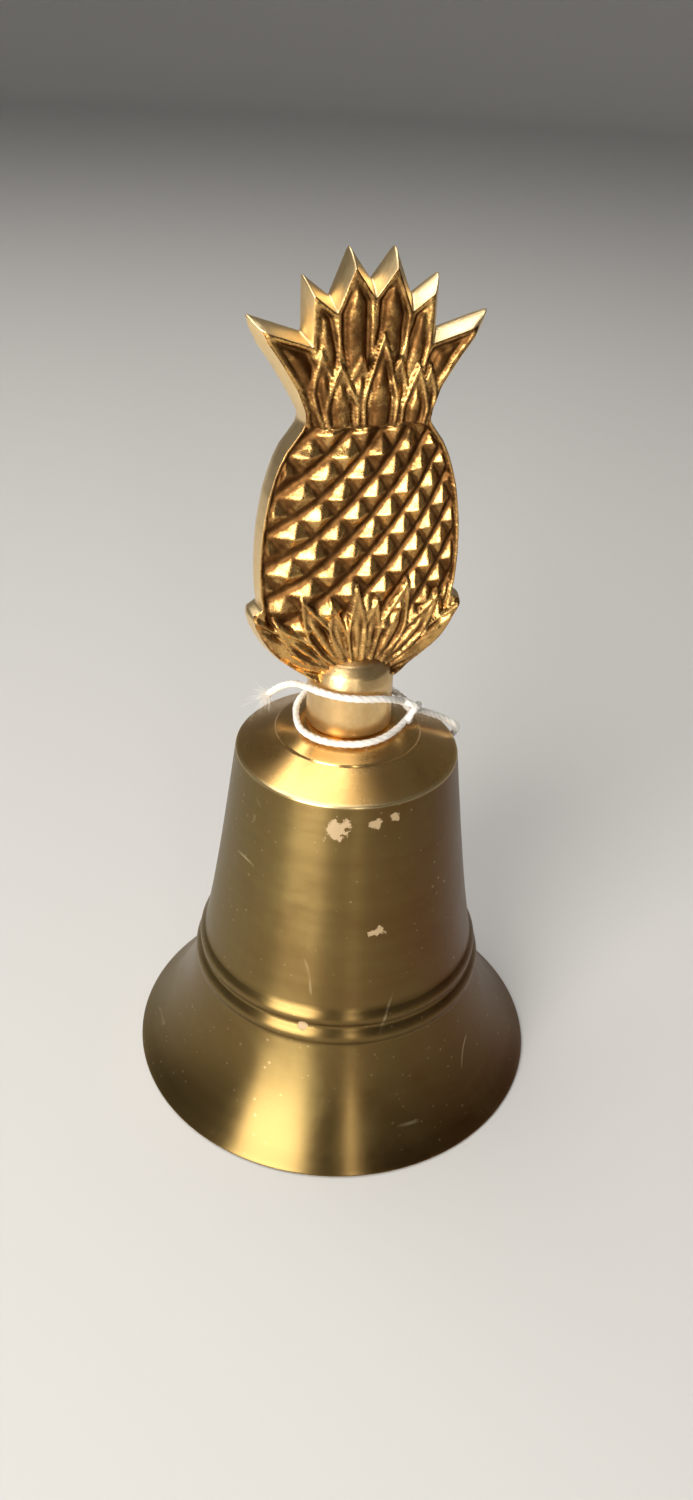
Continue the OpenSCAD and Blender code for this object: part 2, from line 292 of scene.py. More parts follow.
# loose hairs all along the string, and the frayed ends
HAIRS = 900
at = rng.integers(2, len(string_line) - 2, HAIRS)
u, v = side_frames(string_line)
along = unit(np.gradient(string_line, axis=0))
a = rng.uniform(0, 2 * np.pi, HAIRS)
out = np.cos(a)[:, None] * u[at] + np.sin(a)[:, None] * v[at]
clear = (string_line[at, :2] * out[:, :2]).sum(1) > -0.002 * MM
at, out = at[clear], out[clear]
roots = string_line[at] + out * STRING_D * 0.42
ways = out * rng.uniform(0.25, 1.0, (len(at), 1)) + along[at] * rng.choice([-1, 1], (len(at), 1))
ways += 0.25 * rng.normal(size=ways.shape)
ways = unit(ways)
sets = [(roots, ways, rng.uniform(0.4, 1.2, len(at)) * MM, 0.5, 0.011 * MM)]
FRAYED_HAIRS = 170
for end, way in ((0, -along[0]), (-1, along[-1])):
    spread = rng.normal(size=(FRAYED_HAIRS, 3))
    ways = way + 0.34 * spread
    ways = unit(ways)
    a = rng.uniform(0, 2 * np.pi, FRAYED_HAIRS)
    disc = np.cos(a)[:, None] * u[end] + np.sin(a)[:, None] * v[end]
    roots = (string_line[end] - way * 0.7 * MM
             + disc * STRING_D * 0.36 * np.sqrt(rng.uniform(0, 1, (FRAYED_HAIRS, 1))))
    sets.append((roots, ways, rng.uniform(1.0, 2.4, FRAYED_HAIRS) * MM, 0.4, 0.034 * MM))
all_points, quads, caps, count = [], [], [], 0
for roots, ways, lengths, curl, radius in sets:
    hair_points, (q, c) = fibres(roots, ways, lengths, curl, radius)
    all_points.append(hair_points)
    quads.append(q + count)
    caps.append(c + count)
    count += len(hair_points)
string_hairs = mesh_piece("string_hairs", np.vstack(all_points),
                          [np.vstack(quads), np.vstack(caps)])
string_hairs.data.materials.append(cotton)
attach(string_hairs, "bell")

# the hitch: the bight of the string turned over its own two ends, pulled snug
KNOT_ROUTE = np.array([
    (8.5, -3.6, 59.2), (7.3, -3.9, 59.9), (6.3, -3.0, 60.2), (6.0, -1.7, 59.9),
    (6.6, -1.0, 59.0), (7.6, -1.2, 58.0), (8.3, -1.4, 57.0), (8.0, -2.4, 56.5),
    (7.2, -3.6, 56.7), (7.0, -4.3, 57.7), (7.7, -4.2, 58.7), (8.8, -3.2, 59.0),
    (9.3, -2.0, 58.6)]) * MM
KNOT_SNUG = 0.85
KNOT_ROUTE = (KNOT_ROUTE - KNOT_ROUTE.mean(0)) * KNOT_SNUG + KNOT_ROUTE.mean(0)
knot_line, knot_run = even_path(smooth_path(KNOT_ROUTE, 12), 0.16 * MM)
points, faces, uvs = ply_tube(knot_line, knot_run, STRING_D / 2, PLY_PITCH, PLIES, 24,
                              swell=np.clip(0.6 + np.minimum(knot_run, knot_run[-1] - knot_run)
                                            / (1.2 * MM), 0, 1))
knot_piece = mesh_piece("string_hitch", points, faces, uv=uvs)
knot_piece.data.materials.append(cotton)
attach(knot_piece, "bell")
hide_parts("string_knot")

# ------------------------------------------------------------
# Bell shell: cast in brass and turned all over on a lathe, with two raised beads low on
# the waist, a coned crown and a flat seat for the neck. The outside is tarnished, with
# painted shade that darkens it towards +X; the crown is still bright.
# ------------------------------------------------------------
WAIST_R, WAIST_LEAN, FLARE, FLARE_FADE = 21.6, 0.126, 8.8, 8.7
WALL, LIP_EXTRA = 1.75, 0.9
BEAD_Z, BEAD_PITCH, BEAD_WIDTH, BEAD_HEIGHT = 20.3, 2.7, 2.3, 0.5
SHOULDER_Z, INSIDE_TOP = 52.2, 49.2
SHELL_AROUND = 288


def wall_radius(z):
    """Outer radius of the shell at height z, both in millimetres: a straight leaning
    waist line plus a flare that dies away upwards, plus a half-round for each bead."""
    r = WAIST_R - WAIST_LEAN * z + FLARE * np.exp(-z / FLARE_FADE)
    for centre in (BEAD_Z, BEAD_Z - BEAD_PITCH):
        w = np.clip((z - centre) / BEAD_WIDTH, -0.5, 0.5)
        r = r + BEAD_HEIGHT * np.cos(np.pi * w)
    return r


def inner_radius(z):
    """Inner radius at height z: the plain wall less its thickness, which grows at the lip."""
    plain = WAIST_R - WAIST_LEAN * z + FLARE * np.exp(-z / FLARE_FADE)
    return plain - WALL - LIP_EXTRA * np.exp(-z / 6)


def rounded(corners, radius, bits=5):
    """A chain of (r, z) corners with every inner corner rounded off: each corner is
    replaced by a short curve between points the given distance before and after it."""
    chain = [np.array(corners[0], float)]
    for before, here, after in zip(corners[:-2], corners[1:-1], corners[2:]):
        b, h, a = (np.array(p, float) for p in (before, here, after))
        cut = min(radius, 0.45 * np.linalg.norm(b - h), 0.45 * np.linalg.norm(a - h))
        start, end = h + (b - h) / np.linalg.norm(b - h) * cut, h + (a - h) / np.linalg.norm(a - h) * cut
        for t in np.linspace(0, 1, bits):
            chain.append((1 - t) ** 2 * start + 2 * t * (1 - t) * h + t * t * end)
    chain.append(np.array(corners[-1], float))
    return np.array(chain)


def lathe(name, profile, around, attributes=None):
    """A closed (r, z) profile in millimetres turned round the Z axis. UV is the turn and
    the running length along the profile."""
    a = circle(around)
    ring = np.stack([np.cos(a), np.sin(a)], 1)
    r, z = profile[:, 0] * MM, profile[:, 1] * MM
    points = np.concatenate([r[:, None, None] * ring[None],
                             np.broadcast_to(z[:, None, None], (len(r), around, 1))], -1)
    run = np.r_[0, np.cumsum(np.linalg.norm(np.diff(profile, axis=0), axis=1))]
    uv = np.stack([np.broadcast_to(a[None] / (2 * np.pi), (len(r), around)),
                   np.broadcast_to(run[:, None] / run[-1], (len(r), around))], -1)
    return mesh_piece(name, points.reshape(-1, 3), grid_faces(len(r), around, True),
                      uv=uv.reshape(-1, 2), attributes=attributes)


z_low = np.arange(1.0, BEAD_Z - BEAD_PITCH - BEAD_WIDTH / 2, 0.6)
z_bead = np.linspace(BEAD_Z - BEAD_PITCH - BEAD_WIDTH / 2, BEAD_Z + BEAD_WIDTH / 2, 44)
z_high = np.linspace(BEAD_Z + BEAD_WIDTH / 2, SHOULDER_Z - 0.5, 36)[1:]
z_out = np.r_[z_low, z_bead, z_high]
outside = np.stack([wall_radius(z_out), z_out], 1)
lip = rounded([(inner_radius(0.9), 0.9), (inner_radius(0), 0.0), (29.55, 0.0), (29.95, 0.35),
               tuple(outside[0])], 0.3)
crown = rounded([tuple(outside[-1]), (wall_radius(SHOULDER_Z), SHOULDER_Z), (9.8, 54.77),
                 (9.7, 55.05), (6.2, 56.4), (2.1, 56.4), (2.1, 52.6), (6.6, 52.6), (11.4, 51.5),
                 (13.1, 50.6), (inner_radius(INSIDE_TOP), INSIDE_TOP)], 0.28)
z_in = np.linspace(INSIDE_TOP, 1.2, 64)
inside = np.stack([inner_radius(z_in), z_in], 1)
shell_profile = np.vstack([lip[1:-1], outside, crown[1:-1], inside])

# brass groups: tarnish clouds for every metal piece, turning marks and scratches for the shell
# ------------


def node_group(name, inputs, outputs):
    """A shader node group with the given (name, kind, default) inputs and (name, kind)
    outputs, and a short way to add linked nodes inside it."""
    group = bpy.data.node_groups.new(name, "ShaderNodeTree")
    for key, kind, value in inputs:
        socket = group.interface.new_socket(name=key, in_out="INPUT", socket_type=kind)
        if value is not None:
            socket.default_value = value
    for key, kind in outputs:
        group.interface.new_socket(name=key, in_out="OUTPUT", socket_type=kind)
    enter = group.nodes.new("NodeGroupInput")
    leave = group.nodes.new("NodeGroupOutput")

    def give(key, output):
        group.links.new(output, leave.inputs[key])

    return group, enter.outputs, node_adder(group), give


def place_group(add, group, inputs):
    """The outputs of a node group placed in a material with those inputs."""
    return add("ShaderNodeGroup", inputs, node_tree=group).outputs


def mix(add, factor, a, b):
    """Colour a where factor is 0 and colour b where it is 1. Each is a socket or three
    numbers."""
    a, b = (c if isinstance(c, bpy.types.NodeSocket) else (*c, 1) for c in (a, b))
    return add("ShaderNodeMix", {0: factor, 6: a, 7: b}, data_type="RGBA").outputs[2]


def number(add, operation, *inputs):
    """The result of one Math node on its inputs, each a socket or a number."""
    return add("ShaderNodeMath", dict(enumerate(inputs)), operation=operation).outputs[0]


# turning marks: fine rings at even heights, broken up a little along their length
turning_marks, take, add, give = node_group(
    "turning_marks", [("Vector", "NodeSocketVector", None), ("Fine", "NodeSocketFloat", 9000.0)],
    [("Height", "NodeSocketFloat"), ("Broad", "NodeSocketFloat")])
parts = add("ShaderNodeSeparateXYZ", {"Vector": take["Vector"]})
flat = add("ShaderNodeCombineXYZ", {"X": number(add, "MULTIPLY", parts.outputs["X"], 0.012),
                                    "Y": number(add, "MULTIPLY", parts.outputs["Y"], 0.012),
                                    "Z": parts.outputs["Z"]})
fine = add("ShaderNodeTexNoise", {"Vector": flat.outputs[0], "Scale": take["Fine"],
                                  "Detail": 2.0, "Roughness": 0.65})
broad = add("ShaderNodeTexNoise", {"Vector": flat.outputs[0], "Scale": 700.0, "Detail": 3.0})
give("Height", fine.outputs["Fac"])
give("Broad", broad.outputs["Fac"])

# tarnish: large soft clouds with small specks on top
tarnish_clouds, take, add, give = node_group(
    "tarnish_clouds", [("Vector", "NodeSocketVector", None), ("Scale", "NodeSocketFloat", 60.0),
                       ("Low", "NodeSocketFloat", 0.35), ("High", "NodeSocketFloat", 0.7)],
    [("Cloud", "NodeSocketFloat"), ("Speck", "NodeSocketFloat")])
cloud = add("ShaderNodeTexNoise", {"Vector": take["Vector"], "Scale": take["Scale"],
                                   "Detail": 6.0, "Roughness": 0.62, "Distortion": 0.6})
cloud = add("ShaderNodeMapRange", {"Value": cloud.outputs["Fac"], "From Min": take["Low"],
                                   "From Max": take["High"]}, interpolation_type="SMOOTHSTEP")
speck = add("ShaderNodeTexVoronoi", {"Vector": take["Vector"], "Scale": 620.0})
speck_size = add("ShaderNodeTexNoise", {"Vector": take["Vector"], "Scale": 90.0, "Detail": 2.0})
speck_edge = number(add, "MULTIPLY_ADD", speck_size.outputs["Fac"], 0.34, -0.06)
speck = number(add, "SUBTRACT", speck_edge, speck.outputs["Distance"])
speck = add("ShaderNodeMapRange", {"Value": speck, "From Min": 0.0, "From Max": 0.05})
give("Cloud", cloud.outputs["Result"])
give("Speck", speck.outputs["Result"])

# scratches: a few thin bright lines, from the edges of stretched cells
scratches, take, add, give = node_group(
    "scratches", [("Vector", "NodeSocketVector", None), ("Scale", "NodeSocketFloat", 40.0),
                  ("Width", "NodeSocketFloat", 0.012)], [("Mask", "NodeSocketFloat")])
bent = add("ShaderNodeTexNoise", {"Vector": take["Vector"], "Scale": 55.0, "Detail": 1.0})
shift = add("ShaderNodeVectorMath", {0: bent.outputs["Color"], 1: (0.012, 0.012, 0.012)},
            operation="MULTIPLY")
bent_place = add("ShaderNodeVectorMath", {0: take["Vector"], 1: shift.outputs[0]}, operation="ADD")
turned = add("ShaderNodeMapping", {"Vector": bent_place.outputs[0], "Rotation": (0.4, 0.5, 0.6),
                                   "Scale": (1.0, 0.22, 1.0)})
cells = add("ShaderNodeTexVoronoi", {"Vector": turned.outputs[0], "Scale": take["Scale"]},
            feature="DISTANCE_TO_EDGE")
line = number(add, "LESS_THAN", cells.outputs["Distance"], take["Width"])
few = add("ShaderNodeTexNoise", {"Vector": take["Vector"], "Scale": 75.0, "Detail": 2.0})
few = add("ShaderNodeMapRange", {"Value": few.outputs["Fac"], "From Min": 0.6, "From Max": 0.7})
give("Mask", number(add, "MULTIPLY", line, few.outputs["Result"]))


# turned brass, tarnished olive on the waist with painted shade turning it dark brown towards +X, and
# bright on the crown
shell_brass, shader, add, feed = new_material("turned_brass_tarnished")
place = add("ShaderNodeTexCoord").outputs["Object"]
split = add("ShaderNodeSeparateXYZ", {"Vector": place})
marks = place_group(add, turning_marks, {"Vector": place, "Fine": 5200.0})
clouds = place_group(add, tarnish_clouds, {"Vector": place, "Scale": 48.0, "Low": 0.36, "High": 0.66})
lines = place_group(add, scratches, {"Vector": place, "Scale": 42.0, "Width": 0.006})
bright = ramp(add, marks["Broad"], (0.2, (0.70, 0.41, 0.13)), (0.8, (0.80, 0.50, 0.18)))
olive = ramp(add, marks["Broad"], (0.2, (0.225, 0.16, 0.057)), (0.8, (0.255, 0.182, 0.066)))
brown = ramp(add, marks["Broad"], (0.2, (0.115, 0.050, 0.015)), (0.8, (0.135, 0.062, 0.019)))
# painted shade: the waist stays olive on the -X side and turns dark brown towards +X, the darker look of
# a side that reflects dim surroundings; the tarnish clouds shift it a little
painted_lit_side = add("ShaderNodeMapRange", {"Value": split.outputs["X"], "From Min": 0.016,
                                    "From Max": -0.014}, interpolation_type="SMOOTHSTEP")
olive_share = number(add, "MULTIPLY_ADD", painted_lit_side.outputs["Result"], 0.75, -0.08)
olive_share = number(add, "MULTIPLY_ADD", clouds["Cloud"], 0.35, olive_share)
waist = mix(add, olive_share, brown, olive)
on_crown = add("ShaderNodeMapRange", {"Value": split.outputs["Z"], "From Min": 0.0521,
                                      "From Max": 0.0524}).outputs["Result"]
crown_tarnish = mix(add, number(add, "MULTIPLY", clouds["Cloud"], 0.35), bright, (0.45, 0.27, 0.09))
colour = mix(add, on_crown, waist, crown_tarnish)
colour = mix(add, number(add, "MULTIPLY", lines["Mask"], 0.7), colour, (0.86, 0.70, 0.40))
colour = mix(add, number(add, "MULTIPLY", clouds["Speck"], 0.3), colour, (0.62, 0.47, 0.24))
# places where the tarnish has worn through to a pale dull tan: centre, size
WORN = [((-5.15, -13.9, 48.9), 2.6), ((-0.6, -15.2, 49.6), 1.2), ((1.9, -15.3, 50.4), 1.0),
        ((-0.1, -18.2, 33.6), 1.6), ((0.9, -18.1, 33.1), 1.2), ((-9.9, -17.6, 18.9), 1.0)]
worn = None
ragged = add("ShaderNodeTexNoise", {"Vector": place, "Scale": 640.0, "Detail": 6.0,
                                    "Roughness": 0.72}).outputs["Fac"]
for centre, size in WORN:
    apart = add("ShaderNodeVectorMath", {0: place, 1: tuple(c * MM for c in centre)},
                operation="DISTANCE").outputs["Value"]
    near = add("ShaderNodeMapRange", {"Value": apart, "From Min": size * MM, "From Max": 0.0}
               ).outputs["Result"]
    edge = number(add, "ADD", near, number(add, "MULTIPLY_ADD", ragged, 2.6, -1.35))
    spot = add("ShaderNodeMapRange", {"Value": edge, "From Min": 0.30, "From Max": 0.36}
               ).outputs["Result"]
    spot = number(add, "MULTIPLY", spot, number(add, "GREATER_THAN", near, 0.02))
    worn = spot if worn is None else number(add, "MAXIMUM", worn, spot)
ridge = number(add, "ABSOLUTE", number(add, "SUBTRACT", split.outputs["Z"], SHOULDER_Z * MM))
ridge = add("ShaderNodeMapRange", {"Value": ridge, "From Min": 0.00026, "From Max": 0.00008})
colour = mix(add, number(add, "MULTIPLY", ridge.outputs["Result"], 0.8), colour,
             (0.95, 0.72, 0.36))
colour = mix(add, worn, colour, (0.50, 0.36, 0.20))
feed("Base Color", colour)
metal = number(add, "SUBTRACT", 1.0, number(add, "MULTIPLY", worn, 0.75))
feed("Metallic", metal)
rough = number(add, "MULTIPLY_ADD", clouds["Cloud"], 0.10, 0.29)
rough = number(add, "ADD", rough, number(add, "MULTIPLY_ADD", marks["Broad"], 0.06, -0.03))
rough = number(add, "ADD", rough, number(add, "MULTIPLY", worn, 0.3))
rough = number(add, "SUBTRACT", rough, number(add, "MULTIPLY", on_crown, 0.06))
feed("Roughness", rough)
height = number(add, "MULTIPLY", marks["Height"], 0.55)
height = number(add, "SUBTRACT", height, number(add, "MULTIPLY", lines["Mask"], 0.8))
height = number(add, "SUBTRACT", height, number(add, "MULTIPLY", worn, 1.6))
feed("Normal", add("ShaderNodeBump", {"Height": height, "Strength": 0.3,
                                      "Distance": 0.00003}).outputs["Normal"])
feed("Tangent", add("ShaderNodeTangent", direction_type="RADIAL", axis="Z").outputs["Tangent"])
shader.inputs["Anisotropic"].default_value = 0.8
shader.inputs["Anisotropic Rotation"].default_value = 0.25

shell = lathe("shell", shell_profile, SHELL_AROUND)
shell.data.materials.append(shell_brass)
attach(shell, "bell")
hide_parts("bell_shell")

# ------------------------------------------------------------
# Handle: one brass casting, a flat pineapple with a crown of leaves on a round neck, the
# same on both faces. The edges are filed bright, the recesses are dark with old patina, and
# painted shade darkens the lower right facets of the diamonds.
# ------------------------------------------------------------
OUTLINE = [(0, 112.1), (2.6, 115.6), (4.7, 110.5), (7.8, 112.8), (7.8, 106.8),
           (14, 108.8), (13.6, 107.4), (12.7, 105.6), (11.2, 103.5), (9.3, 100.4), (8.1, 98.2),
           (7.8, 97.2), (8.1, 96.4), (8.9, 95.3), (9.9, 94), (10.7, 92.4), (11.3, 90.7),
           (11.9, 88.7), (12.3, 86.6), (12.65, 84.4), (12.85, 82.2), (12.95, 80), (12.95, 78),
           (12.85, 76), (12.6, 74.4), (13.2, 74.1), (13.8, 73.8), (14, 73.2), (13.7, 71.9),
           (12.9, 70.2), (11.8, 68.5), (10.4, 66.9), (8.8, 65.5), (7.2, 64.3), (5.4, 63.2),
           (3.5, 62.9), (0, 62.9)]
CROWN_INSET, FRUIT_INSET, LEAF_INSET = 0.95, 0.35, 0.55
RING_STEP = 0.22
# the relief's heights from the middle plane: the rim of the fruit and its rounded lip, the
# dome that the diamonds stand on and the depth from the edge over which it rises, the
# diamonds, and the floors of the crown and of the base leaves with the levels where they
# take over. XI and ETA give a point's two row numbers as sums of 1, x, z, x^2, x z and z^2,
# with x = u / 10 and z = (height - 85) / 10; the tops of the diamonds are at whole numbers
FRUIT_RIM, RIM_LIP, RIM_WIDTH = 1.5, 0.5, 0.85
DOME_EDGE, DOME_RISE, DOME_FROM, DOME_TO = 1.0, 1.0, 0.8, 6.5
DIAMOND_HEIGHT, RIDGE_SHARE, UNEVEN = 1.15, 0.24, 0.1
CROWN_FLOOR, CROWN_FROM, CROWN_TO = 1.6, 97.0, 98.2
BASE_FLOOR, BASE_FROM, BASE_TO = 1.9, 66.5, 64.5
XI = (0.07, 2.326, 1.891, 0.266, 0.150, -0.077)
ETA = (-0.574, 2.466, -2.111, 0.494, 0.259, -0.048)


def inset_ring(corners, inset):
    """Each corner moved inwards along the line that halves its angle, far enough that both
    its sides move in by inset. The ring is closed and runs clockwise."""
    before, after = np.roll(corners, 1, 0), np.roll(corners, -1, 0)
    d0, d1 = corners - before, after - corners
    d0 = unit(d0)
    d1 = unit(d1)
    n0, n1 = np.stack([d0[:, 1], -d0[:, 0]], 1), np.stack([d1[:, 1], -d1[:, 0]], 1)
    way = n0 + n1
    way /= np.maximum((way ** 2).sum(1) / 2, 0.12)[:, None]
    return corners + way * inset[:, None]


def dense_ring(corners, counts, soften=1):
    """Points along every side of a closed ring, counts of them on each, then each point
    averaged with its neighbours a few times, which rounds the corners a little."""
    after = np.roll(corners, -1, 0)
    pieces = [p + (q - p) * (np.arange(n) / n)[:, None] for p, q, n in zip(corners, after, counts)]
    ring = np.vstack(pieces)
    for _ in range(soften):
        ring = (np.roll(ring, 1, 0) + 2 * ring + np.roll(ring, -1, 0)) / 4
    return ring


def distance_to_line(u, z, line):
    """For each point (u, z): distance to a chain of points, signed positive to its left,
    and how far along the chain, 0 to 1, the nearest place is."""
    line = np.asarray(line, float)
    p, q = line[:-1], line[1:]
    d = q - p
    length = np.linalg.norm(d, axis=1)
    start = np.r_[0, np.cumsum(length)[:-1]]
    best = np.full(u.shape, 1e9)
    side, where = np.zeros(u.shape), np.zeros(u.shape)
    for k in range(len(p)):
        ru, rz = u - p[k, 0], z - p[k, 1]
        t = np.clip((ru * d[k, 0] + rz * d[k, 1]) / length[k] ** 2, 0, 1)
        eu, ez = ru - t * d[k, 0], rz - t * d[k, 1]
        far = np.hypot(eu, ez)
        closer = far < best - 1e-9
        best = np.where(closer, far, best)
        side = np.where(closer, np.sign(d[k, 0] * rz - d[k, 1] * ru), side)
        where = np.where(closer, (start[k] + t * length[k]) / length.sum(), where)
    return best * side, where


def bow(root, tip, sag, bits=9):
    """A leaf's midline from root to tip, bowed sideways by sag at its middle."""
    t = np.linspace(0, 1, bits)[:, None]
    root, tip = np.array(root, float), np.array(tip, float)
    d = tip - root
    n = np.array([-d[1], d[0]]) / np.linalg.norm(d)
    return root + d * t + n * sag * 4 * t * (1 - t)


def smoothstep(x, low, high):
    """0 below low, 1 above high, and 3 t^2 - 2 t^3 between."""
    t = np.clip((x - low) / (high - low), 0, 1)
    return t * t * (3 - 2 * t)


def inside_ring(u, z, ring, margin=0.0):
    """True where a point lies inside a closed ring, and not within margin of one of its
    points: it is inside if a level line from it crosses the ring an odd number of times."""
    p, q = ring, np.roll(ring, -1, 0)
    odd = np.zeros(u.shape, bool)
    near = np.zeros(u.shape, bool)
    for k in range(len(p)):
        crosses = (p[k, 1] > z) != (q[k, 1] > z)
        with np.errstate(divide="ignore", invalid="ignore"):
            x = p[k, 0] + (z - p[k, 1]) / (q[k, 1] - p[k, 1]) * (q[k, 0] - p[k, 0])
        odd ^= crosses & (u < x)
        if margin:
            near |= (np.abs(u - p[k, 0]) < margin) & (np.abs(z - p[k, 1]) < margin)
    return odd & ~near


def lens(root, tip, sag, width, belly=0.45, foot=0.5):
    """Outline of a lance-shaped leaf: from the left of its root over the tip to the right
    of its root, and its midline. It is widest at belly and foot times as wide at the root."""
    middle = bow(root, tip, sag, 15)
    t = np.linspace(0, 1, 15)
    d = unit(np.gradient(middle, axis=0))
    n = np.stack([-d[:, 1], d[:, 0]], 1)
    rise = foot + (1 - foot) * np.sin(np.pi / 2 * np.clip(t / belly, 0, 1))
    fall = np.clip((1 - t) / (1 - belly), 0, 1) ** 0.85
    w = (width * np.where(t < belly, rise, fall))[:, None]
    return np.vstack([middle + n * w, (middle - n * w)[-2::-1]]), middle


def leaf_height(u, z, outline, midline, low, lip, rib, shine, rib_at=0.55):
    """Height of one relief leaf at (u, z), -9 outside it, and how dark its tarnish is there. With
    d the distance to its outline and m the one to its midline, a raised lip stands at a
    small d, a groove runs just inside it, and a rounded rib covers m / (m + d) < rib_at."""
    inside = inside_ring(u, z, outline)
    d = np.abs(distance_to_line(u, z, outline)[0])
    m, t = distance_to_line(u, z, midline)
    s = np.abs(m) / (np.abs(m) + d + 1e-6)
    narrow = smoothstep(np.abs(m) + d, 0.15, 1.1)
    lip_shape = lip * np.exp(-((d - 0.24) / 0.25) ** 2)
    rib_shape = rib * narrow * np.clip(1 - (s / rib_at) ** 2, 0, 1) ** 0.7
    groove = 0.3 * narrow * np.exp(-((d - 0.85) / 0.3) ** 2)
    h = low + lip_shape + rib_shape - groove
    patina_and_shade_share = 1 - np.clip((lip_shape / lip + shine * rib_shape / max(rib, 0.1)), 0, 1)
    return np.where(inside, h, -9.0), patina_and_shade_share


# crown leaves in the outline, from the far ones to the middle: first point of the half
# outline, last point, foot of the left side, foot of the right side, bottom, lip, rib
CROWN_BACK = [((4, 10), (2.6, 96.4), (7.2, 96.6), 1.9, 0.4, 0.55),
              ((2, 4), (1.3, 96.4), (5.4, 96.4), 2.0, 0.4, 0.5),
              ((0, 2), (-0.4, 96.4), (3.6, 96.4), 2.1, 0.4, 0.5)]
# leaves that stand on the others: root, tip, sag, half width, bottom, lip, rib, belly, foot
CROWN_FRONT = [
    ((-4.6, 96.6), (-6.0, 105.6), 0.2, 1.5, 2.35, 0.4, 0.6, 0.5, 0.7),
    ((6.2, 96.6), (6.9, 103.4), -0.2, 1.25, 2.35, 0.4, 0.6, 0.5, 0.7),
    ((2.6, 96.6), (3.3, 104.6), 0.0, 1.5, 2.45, 0.4, 0.6, 0.5, 0.7),
    ((-1.6, 96.6), (-1.3, 105.0), 0.0, 1.6, 2.45, 0.4, 0.6, 0.5, 0.7),
    ((-3.2, 96.8), (-3.8, 104.2), 0.1, 2.1, 2.7, 0.42, 0.35, 0.3, 0.9),
    ((5.0, 96.8), (5.4, 103.8), -0.1, 1.7, 2.7, 0.42, 0.35, 0.3, 0.9),
    ((1.0, 96.8), (1.0, 107.2), 0.0, 2.2, 2.85, 0.45, 0.4, 0.3, 0.9)]
BASE_OUTER = [
    ((-3.2, 64.2), (-14.3, 74.0), 1.2, 2.1, 2.0, 0.7, 0.35, 0.6, 0.5),
    ((3.2, 64.2), (14.3, 74.0), -1.2, 2.1, 2.0, 0.7, 0.35, 0.6, 0.5)]
BASE_INNER = [
    ((-3.0, 65.6), (-11.2, 73.2), 0.7, 1.35, 2.35, 0.55, 0.6, 0.5, 0.5),
    ((3.0, 65.6), (10.4, 75.4), -0.7, 1.45, 2.35, 0.55, 0.6, 0.5, 0.5),
    ((-2.0, 65.8), (-7.8, 76.2), 0.5, 1.65, 2.5, 0.6, 0.55, 0.5, 0.5),
    ((2.2, 65.8), (6.0, 77.6), -0.5, 1.75, 2.5, 0.6, 0.55, 0.5, 0.5),
    ((-1.2, 65.8), (-4.0, 75.6), 0.2, 1.2, 2.6, 0.5, 0.5, 0.5, 0.5),
    ((0.9, 65.8), (2.2, 75.4), 0.0, 1.3, 2.6, 0.5, 0.5, 0.5, 0.5),
    ((-0.2, 65.8), (-0.6, 77.4), 0.0, 1.35, 2.8, 0.55, 0.55, 0.45, 0.6)]


def rows(u, z):
    """The two row numbers (xi, eta) of points (u, z) of the fruit."""
    x, y = u / 10, (z - 85) / 10
    terms = np.stack([np.ones_like(x), x, y, x * x, x * y, y * y])
    return np.tensordot(XI, terms, 1), np.tensordot(ETA, terms, 1)


